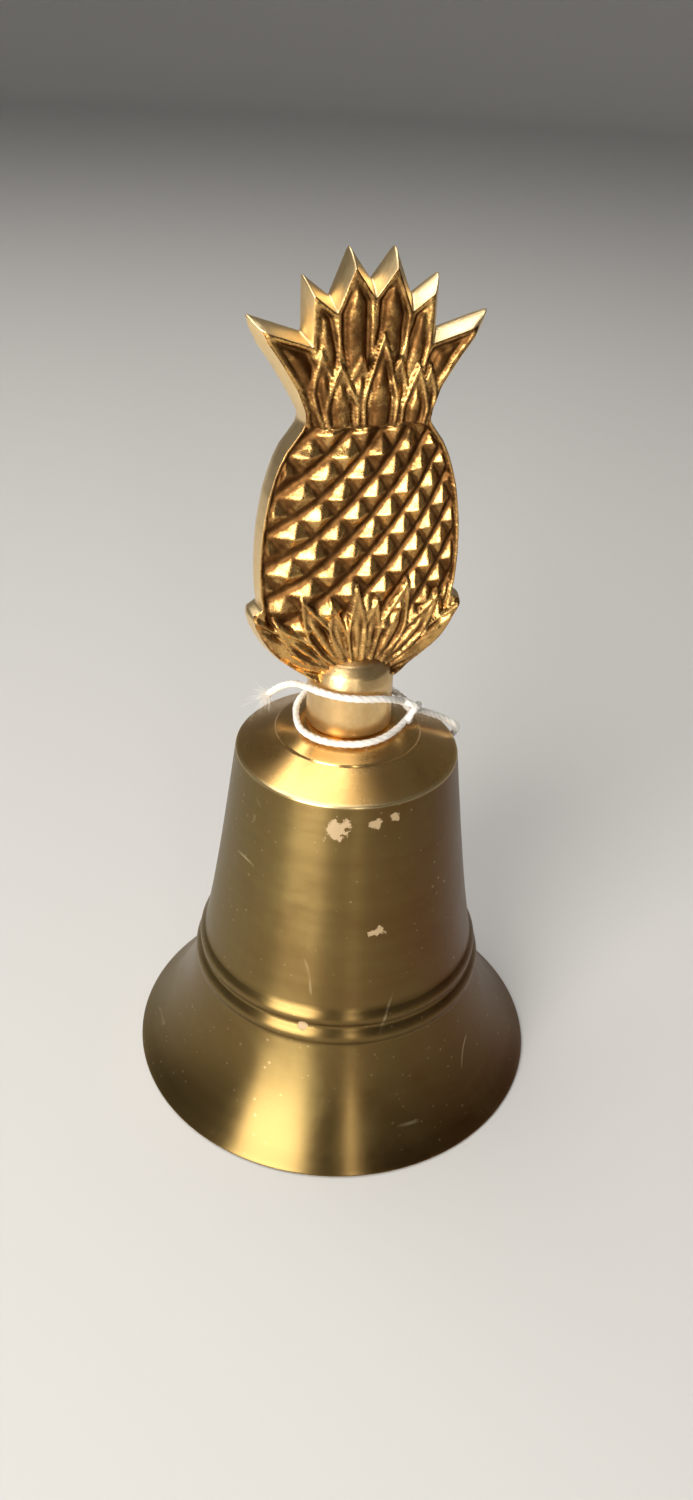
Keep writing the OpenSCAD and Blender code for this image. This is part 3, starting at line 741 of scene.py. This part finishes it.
def relief(u, z, fruit_ring, corners):
    """Half thickness of the casting in millimetres over the point (u, z) of its face, and
    how dark it is there, 0 to 1: dark tarnish in the recesses, and painted shade on the
    lower right facets of each diamond."""
    depth = np.abs(distance_to_line(u, z, np.vstack([fruit_ring, fruit_ring[:1]]))[0])
    xi, eta = rows(u, z)
    a = 1 - 2 * np.abs(xi - np.round(xi))
    b = 1 - 2 * np.abs(eta - np.round(eta))
    pyramid = np.minimum(b, RIDGE_SHARE + 0.76 * a) + 0.1 * np.minimum(a, b) ** 2
    pyramid = pyramid * (1 + UNEVEN * np.sin(12.9 * np.round(xi) + 78.2 * np.round(eta)))
    dome = DOME_EDGE + DOME_RISE * smoothstep(depth, DOME_FROM, DOME_TO)
    field = dome + DIAMOND_HEIGHT * pyramid
    rim = FRUIT_RIM + RIM_LIP * np.clip(1 - ((depth - 0.3) / 0.45) ** 2, -0.8, 1)
    height = np.where(depth < RIM_WIDTH, rim, np.minimum(field, 0.2 + 1.5 * depth))
    hollow = 1.1 - smoothstep(np.minimum(0.14 + 0.86 * a, b), 0.02, 0.5)
    # painted shade: 0.36 more darkening on the lower right facets of each diamond, as if the light came
    # from the upper left
    hollow = hollow + 0.36 * np.maximum(smoothstep(eta - np.round(eta), 0.02, 0.1),
                                        smoothstep(b - RIDGE_SHARE - 0.76 * a, 0.0, 0.1)
                                        * (xi < np.round(xi)))
    hollow = np.maximum(np.where(depth < 0.72, 0.0, hollow),
                        np.exp(-((depth - 0.95) / 0.28) ** 2))
    above, below = smoothstep(z, CROWN_FROM, CROWN_TO), smoothstep(z, BASE_FROM, BASE_TO)
    height = height * (1 - above) + CROWN_FLOOR * above
    height = height * (1 - below) + BASE_FLOOR * below
    hollow = np.clip(hollow * (1 - above) + 0.9 * above, 0, 1)
    shapes = []
    for (first, last), foot_left, foot_right, low, lip, rib in CROWN_BACK:
        for side in (1, -1):
            own = corners[side * np.arange(first, last + 1)]
            line = np.vstack([[foot_left] * np.array([side, 1]), own,
                              [foot_right] * np.array([side, 1])])
            middle = np.array([(line[0] + line[-1]) / 2, own[1]])
            shapes.append((line, middle, low, lip, rib, 0.5))
    for group, shine in ((CROWN_FRONT, 0.45), (BASE_OUTER, 0.8), (BASE_INNER, 0.8)):
        for root, tip, sag, width, low, lip, rib, belly, foot in group:
            line, middle = lens(root, tip, sag, width, belly, foot)
            shapes.append((line, middle, low, lip, rib, shine))
    for line, middle, low, lip, rib, shine in shapes:
        h, patina_and_shade_share = leaf_height(u, z, line, middle, low, lip, rib, shine)
        patina_and_shade_share = np.maximum(patina_and_shade_share, 0.34 * (shine < 0.6))
        over = h > height
        height = np.where(over, h, height)
        hollow = np.where(over, patina_and_shade_share, hollow)
    return height, hollow


def both_halves(half):
    """A closed ring from its right half, top to foot, and its mirror image back up."""
    return np.vstack([half, half[-2:0:-1] * [-1, 1]])


corners = both_halves(np.array(OUTLINE, float))
crown_share = smoothstep(corners[:, 1], 97.0, 99.5)
base_share = smoothstep(corners[:, 1], 74.3, 73.0)
inset = (FRUIT_INSET + (CROWN_INSET - FRUIT_INSET) * crown_share
         + (LEAF_INSET - FRUIT_INSET) * base_share)
inner_corners = inset_ring(corners, inset)
side_lengths = np.linalg.norm(np.roll(corners, -1, 0) - corners, axis=1)
counts = np.maximum(2, np.round(side_lengths / RING_STEP)).astype(int)
outer_ring = dense_ring(corners, counts)
inner_ring = dense_ring(inner_corners, counts)
fruit_sides = [p for p in OUTLINE if 74.2 < p[1] < 97.3]
fruit_ring = both_halves(np.array([(0, 99.5), (4.5, 98.9)] + fruit_sides + [
    (12.2, 71.5), (10.6, 68.5), (8, 66), (4, 64.4), (0, 64)], float))

# points of the face: a skew grid whose lines run along the grooves between the diamonds
FINE = 15
span = np.arange(-10 * FINE, 10 * FINE + 1) / FINE
want = np.stack([g.ravel() for g in np.meshgrid(span, span, indexing="ij")])
want = np.round(want * 2 * FINE) / (2 * FINE)
step_back = np.linalg.inv([[XI[1], XI[2]], [ETA[1], ETA[2]]]) * 10
grid = step_back @ (want - [[XI[0]], [ETA[0]]]) + [[0], [85]]
near = (np.abs(grid[0]) < 19) & (np.abs(grid[1] - 88) < 34)
want, grid = want[:, near], grid[:, near]
for _ in range(25):
    grid = np.clip(grid + 0.7 * step_back @ (want - np.stack(rows(*grid))),
                   [[-22], [50]], [[22], [130]])
grid = grid[:, np.abs(want - np.stack(rows(*grid))).max(0) < 0.001]
grid_u, grid_z = grid
keep = (np.abs(grid_u) < 14.5) & (grid_z > 62.5) & (grid_z < 115.5)
grid_u, grid_z = grid_u[keep], grid_z[keep]
keep = inside_ring(grid_u, grid_z, inner_ring, 0.12)
grid_u, grid_z = grid_u[keep], grid_z[keep]
flat_points = np.vstack([inner_ring, np.stack([grid_u, grid_z], 1)])
n_ring = len(inner_ring)
edges = [(k, (k + 1) % n_ring) for k in range(n_ring)]
cdt = delaunay_2d_cdt([Vector(p) for p in flat_points], edges, [], 0, 1e-7, False)
face_points = np.array([(p.x, p.y) for p in cdt[0]])
triangles = np.array(cdt[2], int)
middles = face_points[triangles].mean(1)
triangles = triangles[inside_ring(middles[:, 0], middles[:, 1], inner_ring)]
half_thick, hollow = relief(face_points[:, 0], face_points[:, 1], fruit_ring, inner_corners)


def cast_grain(u, z, seed):
    """A small uneven height over the casting: the sum of a few dozen sine waves of random
    direction and of a wavelength between 0.5 and 5 mm, the short ones lower."""
    draw = np.random.default_rng(seed)
    total = np.zeros(u.shape)
    for _ in range(42):
        wave = 2 * np.pi / np.exp(draw.uniform(np.log(0.5), np.log(5)))
        way = draw.uniform(0, 2 * np.pi)
        total += np.sin(wave * (u * np.cos(way) + z * np.sin(way)) + draw.uniform(0, 6.28)) / wave
    return total * 0.03


half_thick = half_thick + cast_grain(face_points[:, 0], face_points[:, 1], 3)

# which of the face's points stand on the ring, in the ring's order
ring_index = np.array([((face_points - p) ** 2).sum(1).argmin() for p in inner_ring])
lead = np.roll(inner_ring, -2, 0) - np.roll(inner_ring, 2, 0)
lead = unit(lead)
nearby = inner_ring + 0.14 * np.stack([lead[:, 1], -lead[:, 0]], 1)
edge_thick = relief(nearby[:, 0], nearby[:, 1], fruit_ring, inner_corners)[0]
edge_thick = np.clip(edge_thick, 1.55, 2.6)
for _ in range(10):
    edge_thick = (np.roll(edge_thick, 1) + 2 * edge_thick + np.roll(edge_thick, -1)) / 4
half_thick[ring_index] = edge_thick
front = np.stack([face_points[:, 0], -half_thick, face_points[:, 1]], 1)

# the filed edge, from the middle plane out to the face
WALL_STEPS = [(0.0, 0.0), (0.04, 0.16), (0.22, 0.4), (0.5, 0.66), (0.8, 0.88), (0.94, 0.97)]
wall_points = []
for inward, out in WALL_STEPS:
    ring = outer_ring + (inner_ring - outer_ring) * inward
    wall_points.append(np.stack([ring[:, 0], -edge_thick * out, ring[:, 1]], 1))
wall_points = np.vstack(wall_points)
n_face = len(front)
wall_index = n_face + np.arange(len(wall_points)).reshape(len(WALL_STEPS), n_ring)
index = np.vstack([wall_index, ring_index[None]])
i0, i1 = index[:-1], index[1:]
wall_quads = np.stack([i0, i1, np.roll(i1, -1, 1), np.roll(i0, -1, 1)], -1).reshape(-1, 4)
body_points = np.vstack([front, wall_points])
body_patina_and_shade = np.r_[hollow, np.full(len(wall_points), -0.25)]
filed = np.r_[np.zeros(n_face), np.ones(len(wall_points))]

# faces must turn outwards: the front looks towards -Y
t0 = body_points[triangles[0]]
if np.cross(t0[1] - t0[0], t0[2] - t0[0])[1] > 0:
    triangles = triangles[:, ::-1]
q0 = body_points[wall_quads[0]]
outwards = q0.mean(0) * [1, 0, 1] - [0, 0, 88]
if np.cross(q0[1] - q0[0], q0[2] - q0[0]) @ outwards < 0:
    wall_quads = wall_quads[:, ::-1]
back_points = body_points * [-1, -1, 1]
n_body = len(body_points)

# neck: a turned stalk, let into the foot of the leaves, with the screw hole up its middle
neck_profile = rounded([(2.05, 56.4), (5.45, 56.4), (5.7, 56.8), (5.62, 60.0), (5.6, 63.2),
                        (5.2, 64.9), (4.2, 66.2), (2.6, 66.9), (0.02, 67.1), (0.02, 66.5),
                        (2.05, 66.4), (2.05, 56.5)], 0.35)
NECK_AROUND = 144
a = circle(NECK_AROUND)
neck_points = np.stack([neck_profile[:, :1] * np.cos(a), neck_profile[:, :1] * np.sin(a),
                        np.broadcast_to(neck_profile[:, 1:], (len(neck_profile), NECK_AROUND))],
                       -1).reshape(-1, 3)
neck_faces = grid_faces(len(neck_profile), NECK_AROUND, True) + 2 * n_body
points = np.vstack([body_points, back_points, neck_points]) * MM
all_patina_and_shade = np.r_[body_patina_and_shade, body_patina_and_shade, np.full(len(neck_points), -0.6)]
fileds = np.r_[filed, filed, np.full(len(neck_points), 0.6)]
handle = mesh_piece("pineapple_handle", points,
                    [np.vstack([triangles, triangles + n_body]),
                     np.vstack([wall_quads, wall_quads + n_body, neck_faces])],
                    attributes={"hollow": all_patina_and_shade, "filed": fileds})
WELD_GAP = 0.000004
weld = handle.modifiers.new("weld", "WELD")
weld.merge_threshold = WELD_GAP

# cast brass: gold where hands have rubbed it, brown black with old patina in the recesses, and
# painted shade on the lower right facets of the diamonds
cast_brass, shader, add, feed = new_material("cast_brass_patina_and_shade")
place = add("ShaderNodeTexCoord").outputs["Object"]
# the darkening read here is patina in the recesses plus painted shade on the diamonds' lower right
# facets
patina_and_shade_share = add("ShaderNodeAttribute", attribute_name="hollow").outputs["Fac"]
edge = add("ShaderNodeAttribute", attribute_name="filed").outputs["Fac"]
clouds = place_group(add, tarnish_clouds, {"Vector": place, "Scale": 130.0, "Low": 0.35, "High": 0.68})
grain = add("ShaderNodeTexNoise", {"Vector": place, "Scale": 3600.0, "Detail": 4.0,
                                   "Roughness": 0.65}).outputs["Fac"]
lumps = add("ShaderNodeTexNoise", {"Vector": place, "Scale": 900.0, "Detail": 3.0}).outputs["Fac"]
gold = ramp(add, lumps, (0.3, (0.62, 0.36, 0.11)), (0.7, (0.78, 0.48, 0.17)))
# the dark patina colour, also laid on as painted shade on the diamonds' lower right facets
patina_and_shade_colour = ramp(add, lumps, (0.3, (0.085, 0.036, 0.010)), (0.7, (0.19, 0.09, 0.028)))
reddish = mix(add, number(add, "MULTIPLY", clouds["Cloud"], 0.75), gold, (0.40, 0.21, 0.075))
dark = number(add, "ADD", patina_and_shade_share, number(add, "MULTIPLY_ADD", clouds["Cloud"], 0.42, -0.16))
dark = number(add, "ADD", dark, number(add, "MULTIPLY_ADD", grain, 0.5, -0.25))
dark = number(add, "ADD", dark, number(add, "MULTIPLY_ADD", lumps, 0.9, -0.45))
dark = add("ShaderNodeMapRange", {"Value": dark, "From Min": 0.12, "From Max": 0.72},
           interpolation_type="SMOOTHSTEP").outputs["Result"]
colour = mix(add, dark, reddish, patina_and_shade_colour)
pale = mix(add, lumps, (0.86, 0.62, 0.30), (0.95, 0.77, 0.46))
colour = mix(add, number(add, "MULTIPLY", edge, 0.85), colour, pale)
feed("Base Color", colour)
shader.inputs["Metallic"].default_value = 1.0
rough = number(add, "MULTIPLY_ADD", dark, 0.22, 0.24)
rough = number(add, "ADD", rough, number(add, "MULTIPLY_ADD", grain, 0.2, -0.08))
rough = number(add, "ADD", rough, number(add, "MULTIPLY", edge, 0.1))
feed("Roughness", rough)
file_turn = add("ShaderNodeMapping", {"Vector": place, "Rotation": (0.0, 0.35, 0.0),
                                      "Scale": (2600.0, 5200.0, 300.0)}).outputs["Vector"]
file_marks = add("ShaderNodeTexNoise", {"Vector": file_turn, "Scale": 1.0, "Detail": 2.0}
                 ).outputs["Fac"]
height = mix(add, edge, grain, file_marks)
feed("Normal", add("ShaderNodeBump", {"Height": height, "Strength": 0.55,
                                      "Distance": 0.00006}).outputs["Normal"])
handle.data.materials.append(cast_brass)
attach(handle, "bell")
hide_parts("handle")

# ------------------------------------------------------------
# Fixings inside the crown: a zinc-plated eye bolt screwed up into the neck, with a plain
# washer and a hexagon nut that pull the neck down on the crown.
# ------------------------------------------------------------


def dulled_metal(name, cloud_scale, cloud_low, clean, dull, roughness):
    """A bare metal of one clean and one dull colour, shared out by the tarnish clouds,
    which also roughen it, with a fine grain."""
    material, shader, add, feed = new_material(name)
    place = add("ShaderNodeTexCoord").outputs["Object"]
    clouds = place_group(add, tarnish_clouds, {"Vector": place, "Scale": cloud_scale,
                                               "Low": cloud_low, "High": 0.7})
    grain = add("ShaderNodeTexNoise", {"Vector": place, "Scale": 2400.0, "Detail": 3.0})
    feed("Base Color", mix(add, clouds["Cloud"], clean, dull))
    feed("Roughness", number(add, "MULTIPLY_ADD", clouds["Cloud"], 0.2, roughness))
    shader.inputs["Metallic"].default_value = 1.0
    feed("Normal", add("ShaderNodeBump", {"Height": grain.outputs["Fac"], "Strength": 0.3,
                                          "Distance": 0.00003}).outputs["Normal"])
    return material


zinc = dulled_metal("zinc_plated_steel", 260.0, 0.4, (0.50, 0.50, 0.48), (0.34, 0.31, 0.26), 0.28)
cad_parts["washer"].data.materials.clear()
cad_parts["washer"].data.materials.append(zinc)

# eye bolt: a closed eye in the XZ plane and a stud whose radius rises and falls with
# cos(2 pi z / pitch - angle), which is a thread, and runs out at both ends
EYE_Z, EYE_R, EYE_WIRE, EYE_AROUND, WIRE_AROUND = 44.6, 2.7, 0.85, 72, 28
STUD_FOOT, STUD_LOW, STUD_TOP, STUD_R, STUD_AROUND = 47.0, 47.1, 66.0, 2.0, 48
THREAD_PITCH, THREAD_DEPTH, THREAD_STEP, THREAD_RUN_OUT = 0.7, 0.3, 0.07, 0.5
turn = circle(EYE_AROUND)[:, None]
round_wire = circle(WIRE_AROUND)[None, :]
ring_r = EYE_R + EYE_WIRE * np.cos(round_wire)
eye_points = np.stack([ring_r * np.cos(turn), EYE_WIRE * np.sin(round_wire) + 0 * turn,
                       EYE_Z + ring_r * np.sin(turn)], -1).reshape(-1, 3)
a = circle(STUD_AROUND)[None, :]
z = np.r_[STUD_FOOT, np.arange(STUD_LOW, STUD_TOP, THREAD_STEP)][:, None]
wave = 0.5 + 0.5 * np.cos(2 * np.pi * z / THREAD_PITCH - a)
fade = np.clip(np.minimum(z - STUD_LOW, STUD_TOP - z) / THREAD_RUN_OUT, 0, 1)
r = STUD_R - THREAD_DEPTH + THREAD_DEPTH * wave ** 0.8 * fade
stud_points = np.stack([r * np.cos(a), r * np.sin(a), z + 0 * a], -1).reshape(-1, 3)
first = len(eye_points)
last_ring = first + (len(z) - 1) * STUD_AROUND
eye_bolt = mesh_piece("threaded_eye_bolt", np.vstack([eye_points, stud_points]) * MM,
                      [grid_faces(EYE_AROUND, WIRE_AROUND, True),
                       grid_faces(len(z), STUD_AROUND) + first,
                       np.arange(STUD_AROUND)[::-1][None, :] + first,
                       np.arange(STUD_AROUND)[None, :] + last_ring])

# hexagon nut: its corners are chamfered at 30 degrees, top and bottom, and its bore too
NUT_FLATS, NUT_LOW, NUT_TOP, NUT_BORE, NUT_AROUND = 7.0, 48.6, 51.8, 2.05, 96
CHAMFER_SLOPE, BORE_CHAMFER, FLAT_LAND = 0.577, 0.3, 0.05
a = circle(NUT_AROUND)
hexagon = NUT_FLATS / 2 / np.cos(np.mod(a, np.pi / 3) - np.pi / 6)
land = np.minimum(hexagon, NUT_FLATS / 2 - FLAT_LAND)
drop = CHAMFER_SLOPE * (hexagon - land)
bore = np.full(NUT_AROUND, NUT_BORE)
nut_rings = [(bore, NUT_LOW + BORE_CHAMFER), (bore + BORE_CHAMFER, NUT_LOW), (land, NUT_LOW),
             (hexagon, NUT_LOW + drop), (hexagon, NUT_TOP - drop), (land, NUT_TOP),
             (bore + BORE_CHAMFER, NUT_TOP), (bore, NUT_TOP - BORE_CHAMFER)]
nut_points = np.vstack([np.stack([r * np.cos(a), r * np.sin(a), h + 0 * a], 1)
                        for r, h in nut_rings])
hex_nut = mesh_piece("chamfered_hex_nut", nut_points * MM,
                     grid_faces(len(nut_rings), NUT_AROUND, True), smooth=False)
for part, node in ((eye_bolt, "eye_bolt"), (hex_nut, "hex_nut")):
    part.data.materials.append(zinc)
    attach(part, "bell")
    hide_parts(node)

# ------------------------------------------------------------
# Clapper: a ring of brass wire in the eye, a wire rod with a closed loop at its top, and
# a turned brass ball at its foot.
# ------------------------------------------------------------
wire_brass = dulled_metal("dull_wire_brass", 220.0, 0.35, (0.62, 0.43, 0.17), (0.33, 0.22, 0.10), 0.3)
for node in ("clapper_link", "clapper_rod", "clapper_ball"):
    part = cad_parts[node]
    part.data.materials.clear()
    part.data.materials.append(wire_brass)

# ------------------------------------------------------------
# Floor, backdrop and lights of a plain small studio.
# ------------------------------------------------------------
FLOOR_R, BEND, WALL_TOP, FLOOR_AROUND = 1.5, 0.45, 2.2, 64
turn = np.linspace(0, math.pi / 2, 16)
sweep = np.vstack([[(0.02, 0.0)], np.stack([FLOOR_R + BEND * np.sin(turn),
                                            BEND * (1 - np.cos(turn))], 1),
                   [(FLOOR_R + BEND, WALL_TOP)]])
a = circle(FLOOR_AROUND)
floor_points = np.stack([sweep[:, :1] * np.cos(a), sweep[:, :1] * np.sin(a),
                         np.broadcast_to(sweep[:, 1:], (len(sweep), FLOOR_AROUND))], -1)
floor_faces = grid_faces(len(sweep), FLOOR_AROUND)
floor = mesh_piece("floor", floor_points.reshape(-1, 3),
                   [floor_faces, np.arange(FLOOR_AROUND)[None, :]])
paper, shader, add, feed = new_material("pale_paper")
shader.inputs["Base Color"].default_value = (0.66, 0.65, 0.63, 1)
shader.inputs["Roughness"].default_value = 1.0
shader.inputs["Specular IOR Level"].default_value = 0.1
floor.data.materials.append(paper)

world = bpy.data.worlds.new("studio")
world.use_nodes = True
world.node_tree.nodes["Background"].inputs["Color"].default_value = (0.66, 0.67, 0.70, 1)
world.node_tree.nodes["Background"].inputs["Strength"].default_value = 0.20
bpy.context.scene.world = world


def soft_light(name, at, size, power, colour=(1, 1, 1), look_at=(0, 0, 0.06)):
    """A rectangular soft box of that size in metres, at a place, turned to face look_at."""
    data = bpy.data.lights.new(name, "AREA")
    data.shape = "RECTANGLE"
    data.size, data.size_y = size
    data.energy = power
    data.color = colour
    lamp = bpy.data.objects.new(name, data)
    lamp.location = at
    lamp.rotation_euler = (Vector(look_at) - Vector(at)).to_track_quat("-Z", "Y").to_euler()
    bpy.context.collection.objects.link(lamp)


soft_light("top_soft_box", (-0.15, 0.15, 0.80), (0.6, 0.6), 4.2, (1.0, 0.98, 0.95))
soft_light("left_soft_box", (-0.42, -0.38, 0.25), (0.34, 0.46), 5.0, (1.0, 0.96, 0.90))
soft_light("front_strip", (-0.05, -0.62, 0.25), (0.035, 0.46), 0.45, (1.0, 0.96, 0.90))
bpy.context.scene.view_settings.view_transform = "Standard"
